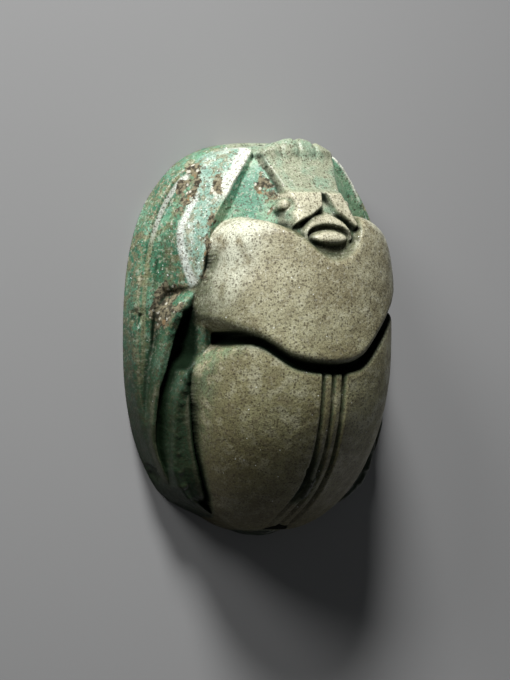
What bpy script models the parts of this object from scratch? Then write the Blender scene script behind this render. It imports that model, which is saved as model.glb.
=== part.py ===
# Scarab amulet: a beetle on an oval plinth, carved from one piece of steatite.
# The underside lies on z = 0, the head points to -Y and the back faces +Z.
# All sizes are in metres.
import bpy
import bmesh
import numpy as np
from mathutils import Vector

MM = 0.001

# Sizes of the whole amulet
LENGTH = 18.35 * MM
WIDTH = 13.7 * MM
HEIGHT = 7.7 * MM

# Plinth
PLINTH_HEIGHT = 1.15 * MM
PLINTH_EDGE = 0.16 * MM

# Threading hole, running lengthwise just above the plinth
BORE_DIAMETER = 1.3 * MM
BORE_RISE = 0.2 * MM

TRIANGLE_SHARE = 0.054

# The beetle is free form and keeps its proportions. It is laid out at the size
# of the original, in millimetres, and these factors stretch it with the sizes.
LAYOUT_FRONT = -9.32
LAYOUT_REAR = 9.035
LAYOUT_HALF_WIDTH = 6.85
LAYOUT_PLINTH = 1.15
LAYOUT_TOP = 7.7
SCALE_X = WIDTH / MM / 2 / LAYOUT_HALF_WIDTH
SCALE_Y = LENGTH / MM / (LAYOUT_REAR - LAYOUT_FRONT)
SCALE_Z = (HEIGHT - PLINTH_HEIGHT) / MM / (LAYOUT_TOP - LAYOUT_PLINTH)

# Legs: crest line (x, y, z) and half thickness of each carved ridge
MIDDLE_LEG = [
    (4.60, -2.25, 3.10, 0.16),
    (4.72, -2.02, 3.00, 0.25),
    (5.09, -1.60, 2.84, 0.24),
    (5.32, -1.26, 2.64, 0.23),
    (5.52, -0.46, 2.26, 0.22),
    (5.59, 0.05, 2.12, 0.22),
    (5.87, 1.36, 1.96, 0.22),
    (6.06, 2.15, 1.88, 0.12),
    (6.12, 3.00, 1.79, 0.12),
    (6.17, 3.85, 1.71, 0.12),
    (6.06, 4.68, 1.55, 0.11),
    (5.86, 5.32, 1.50, 0.11),
    (5.52, 5.96, 1.46, 0.11),
    (5.22, 6.38, 1.38, 0.11),
    (4.82, 6.76, 1.20, 0.10),
]
HIND_LEG = [
    (4.52, 0.92, 3.20, 0.20),
    (4.72, 1.30, 3.04, 0.32),
    (4.92, 1.65, 2.90, 0.32),
    (5.06, 2.10, 2.78, 0.32),
    (5.21, 2.66, 2.64, 0.32),
    (5.26, 3.33, 2.51, 0.31),
    (5.23, 4.20, 2.38, 0.30),
    (5.19, 5.00, 2.25, 0.30),
    (5.04, 5.85, 2.11, 0.30),
    (4.74, 6.51, 1.95, 0.30),
    (4.26, 7.16, 1.75, 0.17),
    (3.56, 7.66, 1.53, 0.14),
    (2.80, 8.03, 1.28, 0.12),
]
SIDE_POST = [
    (4.40, -1.00, 3.55, 0.24),
    (4.34, -0.30, 3.40, 0.24),
    (4.34, 0.40, 3.36, 0.24),
    (4.38, 1.05, 3.45, 0.24),
]
LEG_Y = [-8.95, -8.44, -8.03, -7.29, -6.47, -5.83, -5.37, -4.86, -4.17, -3.26, -2.43, -2.10]
LEG_FACE = [
    ([2.75, 3.44, 3.91, 4.14, 4.42, 4.80, 5.06, 5.17, 5.14, 4.98, 4.81, 4.70],
     [1.40, 1.75, 1.92, 2.12, 2.24, 2.26, 2.24, 2.24, 2.30, 2.52, 2.82, 2.90]),
    ([1.99, 2.54, 2.88, 3.39, 3.84, 4.17, 4.33, 4.46, 4.57, 4.66, 4.68, 4.60],
     [2.60, 3.10, 3.25, 3.25, 3.22, 3.22, 3.28, 3.34, 3.40, 3.40, 3.30, 3.20]),
    ([1.85, 2.40, 2.74, 3.25, 3.70, 4.02, 4.20, 4.32, 4.42, 4.50, 4.50, 4.45],
     [3.15, 3.65, 3.80, 3.80, 3.77, 3.64, 3.55, 3.50, 3.46, 3.44, 3.36, 3.30]),
    ([1.50, 2.00, 2.30, 2.72, 3.08, 3.40, 3.60, 3.75, 3.90, 4.00, 4.10, 4.10],
     [3.10, 3.45, 3.50, 3.52, 3.52, 3.50, 3.40, 3.30, 3.10, 3.00, 3.00, 3.00]),
    ([1.20, 1.85, 1.75, 1.55, 1.45, 1.50, 1.60, 1.80, 2.00, 2.00, 2.00, 2.00],
     [3.20, 3.70, 4.05, 4.72, 5.28, 5.60, 5.80, 5.90, 6.00, 6.00, 6.00, 6.00]),
]
HEAD_PROFILE = (
    [-9.35, -9.00, -8.30, -7.70, -7.16, -6.85, -6.30, -5.70, -5.20, -4.70, -4.20, -3.60],
    [3.95, 4.20, 4.55, 5.02, 5.40, 5.62, 5.95, 6.30, 6.60, 6.85, 7.00, 7.10],
)
HEAD_SIDE = (
    [-9.35, -8.90, -8.30, -7.70, -7.16, -6.75, -5.65, -5.20, -4.80, -4.00],
    [1.75, 1.92, 1.90, 1.68, 1.54, 1.50, 1.78, 1.85, 2.10, 2.40],
)
COLLAR_FRONT = (
    [-4.9, -4.4, -3.9, -3.2, -2.5, -2.1, -1.8, -1.62, -1.18, -0.62,
     0.0, 0.73, 1.42, 2.02, 2.54, 2.90, 3.4, 3.9, 4.4, 4.9],
    [-4.2, -4.9, -5.35, -5.65, -5.75, -5.68, -5.4, -5.0, -4.4, -4.0,
     -3.88, -4.22, -4.82, -5.18, -5.42, -5.56, -5.62, -5.4, -4.9, -4.2],
)
COLLAR_REAR = (
    [-4.9, -4.2, -3.61, -2.41, -1.54, -0.9, -0.3, 0.3,
     1.0, 1.6, 2.16, 2.83, 3.46, 4.1, 4.56, 5.0],
    [-2.3, -1.85, -1.30, -0.14, 0.70, 0.98, 1.07, 1.08,
     1.03, 0.92, 0.73, 0.27, -0.12, -0.42, -0.66, -0.9],
)
CASE_FRONT = (
    [-5.0, -4.2, -3.5, -2.82, -1.76, -0.84, 0.0, 0.55, 1.27,
     2.05, 2.75, 3.2, 3.5, 3.8, 4.1, 4.4, 4.7, 5.0],
    [-1.6, -1.15, -0.62, 0.10, 1.10, 1.38, 1.43, 1.42, 1.35,
     1.12, 0.62, 0.28, 0.15, 0.10, 0.20, 0.45, 0.85, 1.5],
)
FRONS_FACET = [(0.05, -6.90), (1.47, -6.80), (1.76, -5.65), (1.56, -5.18), (0.60, -5.80), (0.28, -6.20)]
SEAM_SPACING = 0.54
SEAM_DEPTH = 0.22
SEAM_HALF_WIDTH = 0.14


def smooth_min(a, b, k):
    h = np.maximum(k - np.abs(a - b), 0.0) / k
    return np.minimum(a, b) - h * h * k * 0.25


def smooth_max(a, b, k):
    return -smooth_min(-a, -b, k)


def step(lo, hi, v):
    t = np.clip((v - lo) / (hi - lo), 0.0, 1.0)
    return t * t * (3.0 - 2.0 * t)


def along(v, knots, values):
    """A rounded curve through the knots."""
    knots = np.array(knots)
    values = np.array(values)
    slope = np.gradient(values, knots)
    v = np.clip(v, knots[0], knots[-1])
    i = np.clip(np.searchsorted(knots, v, side="right") - 1, 0, len(knots) - 2)
    h = knots[i + 1] - knots[i]
    t = (v - knots[i]) / h
    a = values[i] * (1 + 2 * t) * (1 - t) ** 2 + values[i + 1] * t * t * (3 - 2 * t)
    return a + h * (slope[i] * t * (1 - t) ** 2 - slope[i + 1] * t * t * (1 - t))


def oval(x, y):
    x = np.abs(x)
    power = 2.45 - 0.15 * np.tanh(y / 3.0)
    u = x / LAYOUT_HALF_WIDTH + 1e-9
    v = np.abs(y) / 9.2 + 1e-9
    r = (u ** power + v ** power) ** (1.0 / power)
    d = (r - 1.0) * np.hypot(x, y) / np.maximum(r, 1e-6)
    return smooth_max(d, (y + 0.435 * np.sqrt(x * x + 0.30) - 9.325) * 0.92, 0.4)


def bar(x, y, z, crest, outer, inner):
    """A leg: a wall with a narrow rounded top, leaning out by the two slopes."""
    best = np.full(x.shape, 9.0)
    for (x0, y0, z0, w0), (x1, y1, z1, w1) in zip(crest[:-1], crest[1:]):
        dx, dy = x1 - x0, y1 - y0
        t = np.clip(((x - x0) * dx + (y - y0) * dy) / (dx * dx + dy * dy), 0.0, 1.0)
        r = np.hypot(x - x0 - t * dx, y - y0 - t * dy)
        outside = (x - x0) * dy - (y - y0) * dx > 0
        top = z0 + t * (z1 - z0)
        width = w0 + t * (w1 - w0)
        below = np.maximum(top - z, 0.0)
        side = (r - width - below * np.where(outside, outer, inner)) * 0.94
        round_by = 0.11
        a = side + round_by
        b = z - top + round_by
        d = np.hypot(np.maximum(a, 0.0), np.maximum(b, 0.0)) + np.minimum(np.maximum(a, b), 0.0)
        best = np.minimum(best, d - round_by)
    return best


def convex(x, y, outline):
    best = np.full(x.shape, -9.0)
    for (x0, y0), (x1, y1) in zip(outline, outline[1:] + outline[:1]):
        n = np.hypot(x1 - x0, y1 - y0)
        best = np.maximum(best, ((y1 - y0) * (x - x0) - (x1 - x0) * (y - y0)) / n)
    return best


def bowed(x, z, half_width, shoulder, top):
    rise = np.maximum(top - shoulder, 0.2)
    up = np.maximum(z - shoulder, 0.0) / rise
    tucked = half_width + 0.07 * np.clip(shoulder - z, 0.0, 2.5) - 0.10 * step(0.0, 0.5, shoulder - z)
    return (np.sqrt((x / tucked) ** 2 + up ** 2) - 1.0) * np.minimum(half_width, rise)


def wing_cases(x, y, z, across):
    v = np.clip(y / 8.85, 0.0, 0.9999)
    half_width = np.maximum(4.93 * (1.0 - v ** 2.6) ** (1 / 2.6), 0.02)
    shoulder = 1.20 + 2.3 * (1.0 - (np.clip(y + 1.0, 0.0, 10.0) / 10.0) ** 2)
    top = 7.55 * np.sqrt(np.maximum(1.0 - (y / 9.12) ** 2, 0.004))
    d = bowed(x, z, half_width, shoulder, top)
    side = np.abs(across - 0.14 * step(4.0, 8.5, y))
    band = 1.0 - step(SEAM_SPACING, SEAM_SPACING + 0.2, side)
    line = np.abs((side + SEAM_SPACING * 0.5) % SEAM_SPACING - SEAM_SPACING * 0.5)
    cut = np.maximum(1.0 - line / SEAM_HALF_WIDTH, 0.0)
    cut = np.where(side < SEAM_SPACING * 1.4, cut, 0.0)
    above = step(2.0, 3.0, z)
    d = d + above * (0.07 * band + SEAM_DEPTH * cut)
    d = smooth_max(d, y - 8.74, 0.15)
    return smooth_max(d, (along(across, *CASE_FRONT) - y) * 0.85, 0.28), d


def pronotum(x, y, z, across):
    v = np.clip(-y / 5.9, 0.0, 0.9999)
    half_width = np.maximum(4.83 * (1.0 - v ** 4.6) ** (1 / 4.6), 0.02)
    shoulder = np.full(y.shape, 4.05)
    top = 7.7 * np.sqrt(np.maximum(1.0 - (np.abs(y) / 13.0) ** 2.4, 0.1))
    d = bowed(x, z, half_width, shoulder, top)
    d = smooth_max(d, (y - along(across, *COLLAR_REAR)) * 0.85, 0.40)
    d = smooth_max(d, (along(across, *COLLAR_FRONT) - y) * 0.8, 0.50)
    return smooth_max(d, 2.6 - z, 0.2)


def head(x, y, z):
    plate = along(y, *HEAD_PROFILE) - 0.22 * (x / 1.7) ** 2
    front_part = step(-8.2, -8.8, y)
    flute = np.exp(-(x / 0.12) ** 2) + np.exp(-((x - 0.92) / 0.12) ** 2)
    plate = plate + 0.12 * step(-8.3, -8.8, y) - 0.14 * flute * front_part
    facet = convex(x, y, FRONS_FACET)
    plate = plate + 0.46 * step(0.12, -0.10, facet)
    outer = np.hypot(x / 1.25, (y + 4.75) / 1.03)
    inner = np.hypot(x / 1.08, (y + 4.75) / 0.50)
    crescent = step(1.06, 0.92, outer) * step(0.94, 1.16, inner) * step(-4.45, -4.75, y)
    plate = plate + 0.30 * crescent
    boss = np.hypot(x / 1.0, (y + 4.68) / 0.34)
    plate = plate + 0.40 * np.sqrt(np.maximum(1.0 - boss ** 2, 0.0))
    front = LAYOUT_FRONT - 0.036 + 0.17 * x ** 2 + 0.10 * flute
    front = front + 0.25 * step(4.0, 3.1, z)
    d = smooth_max((z - plate) * 0.72, (front - y) * 0.95, 0.25)
    d = smooth_max(d, (x - along(y, *HEAD_SIDE)) * 0.95, 0.14)
    d = np.maximum(d, y + 3.4)
    eye = np.sqrt((x - 1.72) ** 2 + ((y + 6.15) * 0.8) ** 2 + (z - 5.80) ** 2) - 0.32
    return smooth_min(d, eye, 0.05)


def front_leg(x, y, z):
    edges = [np.interp(y, LEG_Y, xs) for xs, zs in LEG_FACE]
    rises = [np.interp(y, LEG_Y, zs) for xs, zs in LEG_FACE]
    d = (z - rises[0] - 2.2 * (edges[0] - x)) * 0.41
    for i in range(4):
        slope = (rises[i + 1] - rises[i]) / (edges[i] - edges[i + 1])
        face = (z - rises[i] - slope * (edges[i] - x)) / np.sqrt(1.0 + slope ** 2)
        d = np.where(x < edges[i], face, d)
    d = np.where(x < edges[4], (z - rises[4]) * 0.8, d)
    d = smooth_max(d, (-8.98 - y) * 0.9, 0.25)
    d = smooth_max(d, (y + 2.30 + 0.7 * (x - 4.7) + 0.3 * (z - 2.6)) * 0.75, 0.15)
    return np.maximum(d, 0.16 - -oval(x, y))


def flank(x, y, z):
    inside = -oval(x, y)
    ahead = step(-1.2, -3.0, y)
    rise = 0.22 + 0.08 * ahead
    top = LAYOUT_PLINTH - 0.04 + rise * step(0.4, 1.5, inside)
    top = top - 0.10 * step(0.15, 0.5, inside) * step(1.3, 0.8, inside)
    core = np.maximum((z - top) * 0.9, 0.12 - inside)
    wall = np.maximum(bowed(x, z, 4.15, 2.6, 4.2), np.abs(y + 1.9) - 1.0)
    wall = np.minimum(wall, np.maximum(bowed(x, z, 3.35, 2.6, 4.2), np.abs(y) - 1.6))
    d = smooth_min(core, wall, 0.20)
    d = smooth_min(d, front_leg(x, y, z), 0.10)
    legs = np.minimum(bar(x, y, z, MIDDLE_LEG, 0.08, 0.28), bar(x, y, z, HIND_LEG, 0.10, 0.20))
    d = smooth_min(d, smooth_max(legs, 0.02 - inside, 0.08), 0.12)
    lump = np.sqrt((x - 4.80) ** 2 + (y - 0.02) ** 2 + (z - 1.45) ** 2) - 0.42
    d = smooth_min(d, lump, 0.15)
    return smooth_min(d, bar(x, y, z, SIDE_POST, 0.10, 0.10), 0.10)


def plinth(x, y, z):
    return smooth_max(oval(x, y), z - LAYOUT_PLINTH, PLINTH_EDGE / MM * 2.0)


def scarab(x, y, z):
    across = x
    x = np.abs(x)
    cases, shell = wing_cases(x, y, z, across)
    floor = np.maximum(shell + 0.50 + 0.75 * step(2.8, 4.1, x), -2.7 - y)
    back = np.minimum(cases, pronotum(x, y, z, across))
    back = smooth_min(back, floor, 0.10)
    d = smooth_min(back, head(x, y, z), 0.07)
    d = smooth_min(d, flank(x, y, z), 0.07)
    return smooth_min(d, plinth(x, y, z), 0.12)


def surface(points):
    start = points * np.array([6.2, 8.5, 0.0])
    start[:, 2] = -3.0
    target = points * np.array([7.1, 9.4, 8.3])
    target[:, 2] -= 0.35
    ray = target - start
    stride = 0.010
    far = 1.45
    last = np.full(len(points), far)
    hit = np.full(len(points), 0.02)
    left = np.arange(len(points))
    t = far
    while t > stride and len(left):
        t -= stride
        p = start[left] + ray[left] * t
        now = scarab(p[:, 0], p[:, 1], p[:, 2]) < 0
        hit[left[now]] = t
        last[left[now]] = t + stride
        left = left[~now]
    for i in range(10):
        mid = (hit + last) * 0.5
        p = start + ray * mid[:, None]
        deep = scarab(p[:, 0], p[:, 1], p[:, 2]) < 0
        hit = np.where(deep, mid, hit)
        last = np.where(deep, last, mid)
    return start + ray * hit[:, None]


def to_size(p):
    """From the layout to metres; the plinth keeps its own height."""
    out = np.empty_like(p)
    out[:, 0] = p[:, 0] * SCALE_X * MM
    out[:, 1] = (p[:, 1] - (LAYOUT_FRONT + LAYOUT_REAR) / 2) * SCALE_Y * MM
    low = p[:, 2] * (PLINTH_HEIGHT / LAYOUT_PLINTH)
    high = PLINTH_HEIGHT + (p[:, 2] - LAYOUT_PLINTH) * SCALE_Z * MM
    out[:, 2] = np.where(p[:, 2] < LAYOUT_PLINTH, low, high)
    return out


def clear_scene():
    for obj in list(bpy.data.objects):
        bpy.data.objects.remove(obj, do_unlink=True)


def stone_material():
    mat = bpy.data.materials.new("glazed_steatite")
    mat.use_nodes = True
    shader = mat.node_tree.nodes["Principled BSDF"]
    shader.inputs["Base Color"].default_value = (0.22, 0.23, 0.145, 1.0)
    shader.inputs["Roughness"].default_value = 0.55
    shader.inputs["Metallic"].default_value = 0.0
    return mat


def carved_mesh(name):
    bm = bmesh.new()
    bmesh.ops.create_icosphere(bm, subdivisions=8, radius=1.0)
    low = [v for v in bm.verts if v.co.z < -0.12]
    bmesh.ops.delete(bm, geom=low, context="VERTS")
    bm.verts.ensure_lookup_table()
    points = np.array([v.co[:] for v in bm.verts])
    placed = to_size(surface(points))
    for vert, co in zip(bm.verts, placed):
        vert.co = co
    # cut the underside flat and close it
    everything = bm.verts[:] + bm.edges[:] + bm.faces[:]
    bmesh.ops.bisect_plane(
        bm, geom=everything, dist=1e-9,
        plane_co=Vector((0, 0, 0)), plane_no=Vector((0, 0, -1)), clear_outer=True)
    rim = [e for e in bm.edges if e.is_boundary]
    bmesh.ops.holes_fill(bm, edges=rim, sides=0)
    bmesh.ops.triangulate(bm, faces=[f for f in bm.faces if len(f.verts) > 3])
    bmesh.ops.recalc_face_normals(bm, faces=bm.faces[:])
    for face in bm.faces:
        face.smooth = True
    mesh = bpy.data.meshes.new(name)
    bm.to_mesh(mesh)
    bm.free()
    return mesh


def bore_cutter(collection):
    axis_height = PLINTH_HEIGHT + BORE_RISE + BORE_DIAMETER / 2
    bm = bmesh.new()
    bmesh.ops.create_cone(
        bm, cap_ends=True, segments=28, depth=LENGTH * 1.3,
        radius1=BORE_DIAMETER / 2, radius2=BORE_DIAMETER / 2)
    mesh = bpy.data.meshes.new("bore_cutter")
    bm.to_mesh(mesh)
    bm.free()
    obj = bpy.data.objects.new("bore_cutter", mesh)
    obj.location = (0.0, 0.0, axis_height)
    obj.rotation_euler = (np.pi / 2, 0.0, 0.0)
    obj.hide_render = True
    obj.display_type = "WIRE"
    collection.objects.link(obj)
    return obj


def build():
    clear_scene()
    scene = bpy.context.scene
    amulet = bpy.data.collections.new("scarab_amulet")
    cutters = bpy.data.collections.new("cutters")
    scene.collection.children.link(amulet)
    scene.collection.children.link(cutters)

    mesh = carved_mesh("scarab_amulet")
    obj = bpy.data.objects.new("scarab_amulet", mesh)
    obj.data.materials.append(stone_material())
    amulet.objects.link(obj)

    thin = obj.modifiers.new("fewer_triangles", "DECIMATE")
    thin.ratio = TRIANGLE_SHARE
    bore = obj.modifiers.new("threading_hole", "BOOLEAN")
    bore.operation = "DIFFERENCE"
    bore.solver = "EXACT"
    bore.object = bore_cutter(cutters)


build()
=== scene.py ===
"""Looks of the scarab amulet: worn, glazed steatite on a plain pale floor."""
import math

import bmesh
import bpy
import numpy as np
from mathutils import Matrix, Vector, noise


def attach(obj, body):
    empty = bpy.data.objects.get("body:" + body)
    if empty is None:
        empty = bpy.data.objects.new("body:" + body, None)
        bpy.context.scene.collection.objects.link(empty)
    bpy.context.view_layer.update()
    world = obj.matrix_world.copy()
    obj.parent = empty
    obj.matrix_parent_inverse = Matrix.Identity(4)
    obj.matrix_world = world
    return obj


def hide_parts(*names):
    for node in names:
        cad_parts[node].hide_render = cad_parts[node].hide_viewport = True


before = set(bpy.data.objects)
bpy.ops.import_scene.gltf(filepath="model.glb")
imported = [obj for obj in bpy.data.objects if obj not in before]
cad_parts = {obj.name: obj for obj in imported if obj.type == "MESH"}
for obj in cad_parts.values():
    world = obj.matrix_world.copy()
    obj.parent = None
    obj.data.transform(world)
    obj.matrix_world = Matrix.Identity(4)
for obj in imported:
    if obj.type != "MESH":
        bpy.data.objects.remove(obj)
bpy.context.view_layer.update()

MM = 0.001

# Layout of the carving, in millimetres. It follows the solid's, apart from the waist, the seam's
# drift, the facets, the eye, the trough and the thigh, which are closer to the photo.
LAYOUT_FRONT = -9.32
LAYOUT_REAR = 9.035
LAYOUT_HALF_WIDTH = 6.85
LAYOUT_PLINTH = 1.15
PLINTH_EDGE = 0.16
BORE_RADIUS = 0.65
BORE_RISE = 0.2
BORE_AXIS = LAYOUT_PLINTH + BORE_RISE + BORE_RADIUS
BORE_SEGMENTS = 48
DRILL_LENGTH = 24.0
SHIFT_Y = -(LAYOUT_FRONT + LAYOUT_REAR) / 2

# Outline of the plinth: an oval with a blunt point at the rear
OVAL_HALF_LENGTH = 9.2
OVAL_POWER = 2.45
OVAL_POWER_CHANGE = 0.15
TAIL_SLANT = 0.435
TAIL_END = 9.325

# Wing cases
CASE_REACH = 8.85
CASE_HALF_WIDTH = 4.93
CASE_POWER = 2.6
CASE_TOP = 7.55
CASE_TOP_REACH = 9.12
CASE_END = 8.74

# Pronotum; the side in the photo is narrower at its waist
COLLAR_REACH = 5.9
COLLAR_HALF_WIDTH = 4.83
COLLAR_POWER = 4.6
COLLAR_SHOULDER = 4.05
COLLAR_TOP = 7.7
COLLAR_TOP_REACH = 13.0
COLLAR_UNDERSIDE = 2.6
WAIST_DEPTH = 0.32
WAIST_Y = -3.6
WAIST_LENGTH = 1.1

# Head
FLUTE_X = 0.92
FLUTE_WIDTH = 0.12
FLUTE_DEPTH = 0.10
FACET_RISE = 0.46
CRESCENT_Y = -4.75
CRESCENT_RISE = 0.30
BOSS_Y = -4.68
BOSS_RISE = 0.40
HEAD_END = -3.4
EYE_RADIUS = 0.26
FAR_EYE_DROP = 0.3

# Legs and flank
LEG_FRONT_Y = -8.98
LEG_OUTER_SLOPE = 2.2
LEG_OUTER_SCALE = 0.41
LEG_ROUNDING = 0.11
TROUGH_DEPTH = 0.14
LUMP = (4.80, 0.02, 1.45)
LUMP_RADIUS = 0.42
THIGH_SLOPE = 0.75
THIGH_MIDDLE = 4.3
THIGH_HALF_LENGTH = 3.1
# Walls behind the legs: half width, middle and half length along the body
INNER_WALLS = [(4.15, -1.9, 1.0), (3.35, 0.0, 1.6)]
WALL_SHOULDER = 2.6
WALL_TOP = 4.2

# Rays from inside and below to outside and above: where they start and aim, a unit of direction,
# and how far along them the form is looked for, in shares of their length
RAY_START = np.array([6.2, 8.5, 0.0])
RAY_START_Z = -3.0
RAY_TARGET = np.array([7.1, 9.4, 8.3])
RAY_TARGET_DROP = 0.35
RAY_FAR = 1.45
RAY_NEAR = 0.02
RAY_STRIDE = 0.010
RAY_HALVINGS = 10

# Legs: crest line (x, y, z) and half thickness of each carved ridge
MIDDLE_LEG = [
    (4.60, -2.25, 3.10, 0.16),
    (4.72, -2.02, 3.00, 0.25),
    (5.09, -1.60, 2.84, 0.24),
    (5.32, -1.26, 2.64, 0.23),
    (5.52, -0.46, 2.26, 0.22),
    (5.59, 0.05, 2.12, 0.22),
    (5.87, 1.36, 1.96, 0.22),
    (6.06, 2.15, 1.88, 0.12),
    (6.12, 3.00, 1.79, 0.12),
    (6.17, 3.85, 1.71, 0.12),
    (6.06, 4.68, 1.55, 0.11),
    (5.86, 5.32, 1.50, 0.11),
    (5.52, 5.96, 1.46, 0.11),
    (5.22, 6.38, 1.38, 0.11),
    (4.82, 6.76, 1.20, 0.10),
]
HIND_LEG = [
    (4.52, 0.92, 3.20, 0.20),
    (4.72, 1.30, 3.04, 0.32),
    (4.92, 1.65, 2.90, 0.32),
    (5.06, 2.10, 2.78, 0.32),
    (5.21, 2.66, 2.64, 0.32),
    (5.26, 3.33, 2.51, 0.31),
    (5.23, 4.20, 2.38, 0.30),
    (5.19, 5.00, 2.25, 0.30),
    (5.04, 5.85, 2.11, 0.30),
    (4.74, 6.51, 1.95, 0.30),
    (4.26, 7.16, 1.75, 0.17),
    (3.56, 7.66, 1.53, 0.14),
    (2.80, 8.03, 1.28, 0.12),
]
SIDE_POST = [
    (4.40, -1.00, 3.55, 0.24),
    (4.34, -0.30, 3.40, 0.24),
    (4.34, 0.40, 3.36, 0.24),
    (4.38, 1.05, 3.45, 0.24),
]
# Front leg: edges of its faces from the outside in, each with its x and z at the stations in y
LEG_Y = [-8.95, -8.44, -8.03, -7.29, -6.47, -5.83, -5.37, -4.86, -4.17, -3.26, -2.43, -2.10]
LEG_FACE = [
    ([2.75, 3.44, 3.91, 4.14, 4.42, 4.80, 5.06, 5.17, 5.14, 4.98, 4.81, 4.70],
     [1.40, 1.75, 1.92, 2.12, 2.24, 2.26, 2.24, 2.24, 2.30, 2.52, 2.82, 2.90]),
    ([1.99, 2.54, 2.88, 3.39, 3.84, 4.17, 4.33, 4.46, 4.57, 4.66, 4.68, 4.60],
     [2.60, 3.10, 3.25, 3.25, 3.22, 3.22, 3.28, 3.34, 3.40, 3.40, 3.30, 3.20]),
    ([1.85, 2.40, 2.74, 3.25, 3.70, 4.02, 4.20, 4.32, 4.42, 4.50, 4.50, 4.45],
     [3.15, 3.65, 3.80, 3.80, 3.77, 3.64, 3.55, 3.50, 3.46, 3.44, 3.36, 3.30]),
    ([1.50, 2.00, 2.30, 2.72, 3.08, 3.40, 3.60, 3.75, 3.90, 4.00, 4.10, 4.10],
     [3.08, 3.56, 3.70, 3.71, 3.69, 3.58, 3.46, 3.36, 3.18, 3.05, 3.00, 3.00]),
    ([1.20, 1.85, 1.75, 1.55, 1.45, 1.50, 1.60, 1.80, 2.00, 2.00, 2.00, 2.00],
     [3.20, 3.70, 4.05, 4.72, 5.28, 5.60, 5.80, 5.90, 6.00, 6.00, 6.00, 6.00]),
]
# Curves, each as its knots and its values: the head from the side and from above,
# then the edges of the pronotum and the wing cases
HEAD_PROFILE = (
    [-9.35, -9.00, -8.30, -7.70, -7.16, -6.85, -6.30, -5.70, -5.20, -4.70, -4.20, -3.60],
    [3.95, 4.20, 4.55, 5.02, 5.40, 5.62, 5.95, 6.30, 6.60, 6.85, 7.00, 7.10],
)
HEAD_SIDE = (
    [-9.35, -8.90, -8.30, -7.70, -7.16, -6.75, -5.65, -5.20, -4.80, -4.00],
    [1.75, 1.92, 1.90, 1.68, 1.54, 1.50, 1.78, 1.85, 2.10, 2.40],
)
COLLAR_FRONT = (
    [-4.9, -4.4, -3.9, -3.2, -2.5, -2.1, -1.8, -1.62, -1.18, -0.62,
     0.0, 0.73, 1.42, 2.02, 2.54, 2.90, 3.4, 3.9, 4.4, 4.9],
    [-4.2, -4.9, -5.35, -5.65, -5.75, -5.68, -5.4, -5.0, -4.4, -4.0,
     -3.88, -4.22, -4.82, -5.18, -5.42, -5.56, -5.62, -5.4, -4.9, -4.2],
)
COLLAR_REAR = (
    [-4.9, -4.2, -3.61, -2.41, -1.54, -0.9, -0.3, 0.3,
     1.0, 1.6, 2.16, 2.83, 3.46, 4.1, 4.56, 5.0],
    [-2.3, -1.85, -1.30, -0.14, 0.70, 0.98, 1.07, 1.08,
     1.03, 0.92, 0.73, 0.27, -0.12, -0.42, -0.66, -0.9],
)
CASE_FRONT = (
    [-5.0, -4.2, -3.5, -2.82, -1.76, -0.84, 0.0, 0.55, 1.27,
     2.05, 2.75, 3.2, 3.5, 3.8, 4.1, 4.4, 4.7, 5.0],
    [-1.6, -1.15, -0.62, 0.10, 1.10, 1.38, 1.43, 1.42, 1.35,
     1.12, 0.62, 0.28, 0.15, 0.10, 0.20, 0.45, 0.85, 1.5],
)
# Corners of the facets behind the head's plate, then the eye's centre
FRONS_LEFT = [(-0.20, -6.88), (1.66, -6.86), (1.62, -5.29), (0.72, -5.66), (0.00, -6.10)]
FRONS_RIGHT = [
    (-1.29, -6.79), (-0.35, -6.84), (-0.46, -6.37), (-0.76, -5.79), (-1.55, -5.12), (-1.74, -5.25)]
EYE = (1.66, -6.17, 5.74)
# The three lines between the wing cases: sideways drift of the middle one, then their sizes
SEAM_PATH = ([0.0, 2.0, 3.8, 5.5, 6.8, 8.0, 9.0], [0.0, -0.04, -0.16, -0.26, -0.20, 0.0, 0.12])
SEAM_SPACING = 0.54
SEAM_DEPTH = 0.22
SEAM_HALF_WIDTH = 0.14


def smooth_min(a, b, k):
    """Union of two forms, rounded where they meet within k."""
    h = np.maximum(k - np.abs(a - b), 0.0) / k
    return np.minimum(a, b) - h * h * k * 0.25


def smooth_max(a, b, k):
    return -smooth_min(-a, -b, k)


def step(lo, hi, v):
    """Zero at lo, one at hi, smooth in between."""
    t = np.clip((v - lo) / (hi - lo), 0.0, 1.0)
    return t * t * (3.0 - 2.0 * t)


def along(v, knots, values):
    """A rounded curve through the knots."""
    knots = np.array(knots)
    values = np.array(values)
    slope = np.gradient(values, knots)
    v = np.clip(v, knots[0], knots[-1])
    i = np.clip(np.searchsorted(knots, v, side="right") - 1, 0, len(knots) - 2)
    h = knots[i + 1] - knots[i]
    t = (v - knots[i]) / h
    a = values[i] * (1 + 2 * t) * (1 - t) ** 2 + values[i + 1] * t * t * (3 - 2 * t)
    return a + h * (slope[i] * t * (1 - t) ** 2 - slope[i + 1] * t * t * (1 - t))


def oval(x, y):
    """Distance outside the plinth's outline, less than zero inside it."""
    x = np.abs(x)
    power = OVAL_POWER - OVAL_POWER_CHANGE * np.tanh(y / 3.0)
    u = x / LAYOUT_HALF_WIDTH + 1e-9
    v = np.abs(y) / OVAL_HALF_LENGTH + 1e-9
    r = (u ** power + v ** power) ** (1.0 / power)
    d = (r - 1.0) * np.hypot(x, y) / np.maximum(r, 1e-6)
    return smooth_max(d, (y + TAIL_SLANT * np.sqrt(x * x + 0.30) - TAIL_END) * 0.92, 0.4)


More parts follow.
